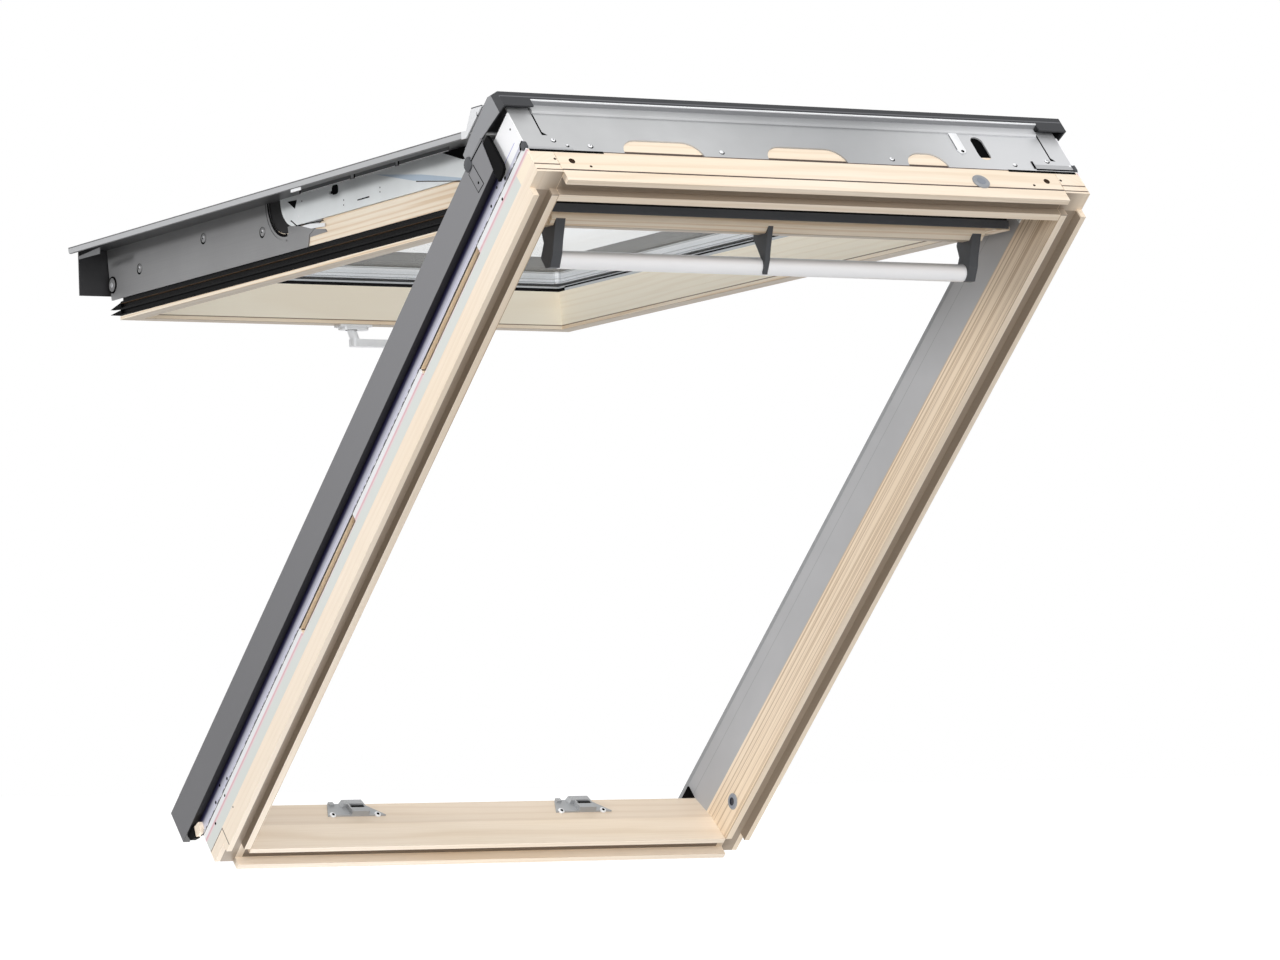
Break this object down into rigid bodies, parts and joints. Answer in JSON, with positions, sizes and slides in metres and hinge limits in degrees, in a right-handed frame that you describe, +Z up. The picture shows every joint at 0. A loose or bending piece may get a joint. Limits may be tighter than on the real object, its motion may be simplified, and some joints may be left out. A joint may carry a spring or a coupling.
{
  "type": "top hung roof window",
  "caption": "Pine top hung roof window in a sloping frame, sash held open on side arms, with control bar, handle, lock keepers and metal covers",
  "frame": {"origin": "middle of the top flank of the frame, on its flat pine face", "axes": "+X right seen from the room, +Y away from the room, +Z up; the frame slopes 45 degrees, down towards +Y"},
  "size_m": [0.8, 1.2656, 0.9408],
  "materials": {
    "arm_zinc": "bright zinc-plated steel",
    "bar_silver": "anodised aluminium, satin",
    "black_rubber": "black extruded rubber",
    "bracket_charcoal": "charcoal moulded plastic",
    "clear_glass": "clear float glass",
    "cover_charcoal": "charcoal lacquered aluminium, satin",
    "dark_casing": "dark grey lacquered aluminium",
    "handle_silver": "satin silver casting",
    "keeper_steel": "dark zinc-coated steel",
    "pine": "clear-lacquered pine with fine grain",
    "plate_grey": "grey coated steel plate",
    "rail_aluminium": "satin aluminium",
    "reveal_grey": "grey lacquered aluminium, matt",
    "sash_cover_grey": "grey lacquered aluminium, satin",
    "spacer_metal": "satin aluminium spacer",
    "white_sheet": "white coated steel sheet",
    "zinc_sheet": "dull zinc-coated steel sheet"
  },
  "bodies": {
    "root": {"bolt_bush": "black_rubber", "bottom_flank_sheet": "white_sheet", "cable_grommet": "black_rubber", "control_bar": "bar_silver", "frame_bottom_cover": "cover_charcoal", "frame_bottom_gasket": "black_rubber", "frame_bottom_rail": "pine", "frame_left_stile": "pine", "frame_right_stile": "pine", "frame_top_rail": "pine", "glass_spacer": "spacer_metal", "glazing_seal": "black_rubber", "handle_base": "handle_silver", "handle_lever": "handle_silver", "inner_pane": "clear_glass", "left_arm": "arm_zinc", "left_bar_bracket": "bracket_charcoal", "left_flank_sheet": "white_sheet", "left_hinge_pin": "arm_zinc", "left_hinge_plate": "arm_zinc", "left_keeper": "keeper_steel", "left_lower_cover": "sash_cover_grey", "left_pivot_housing": "dark_casing", "left_reveal_cladding": "reveal_grey", "left_side_cover": "cover_charcoal", "left_side_plate": "plate_grey", "left_side_rail": "rail_aluminium", "left_upper_cover": "sash_cover_grey", "middle_bar_bracket": "bracket_charcoal", "outer_pane": "clear_glass", "right_arm": "arm_zinc", "right_bar_bracket": "bracket_charcoal", "right_flank_sheet": "white_sheet", "right_hinge_pin": "arm_zinc", "right_hinge_plate": "arm_zinc", "right_keeper": "keeper_steel", "right_lower_cover": "sash_cover_grey", "right_pivot_housing": "dark_casing", "right_reveal_cladding": "reveal_grey", "right_side_cover": "cover_charcoal", "right_side_plate": "plate_grey", "right_side_rail": "rail_aluminium", "right_upper_cover": "sash_cover_grey", "sash_bottom_cover": "sash_cover_grey", "sash_bottom_gasket": "black_rubber", "sash_bottom_rail": "pine", "sash_left_gasket": "black_rubber", "sash_left_stile": "pine", "sash_right_gasket": "black_rubber", "sash_right_stile": "pine", "sash_top_casing": "dark_casing", "sash_top_cover": "sash_cover_grey", "sash_top_rail": "pine", "top_hood": "cover_charcoal", "top_reveal_cladding": "reveal_grey", "top_sheet": "zinc_sheet"}
  },
  "joints": []
}
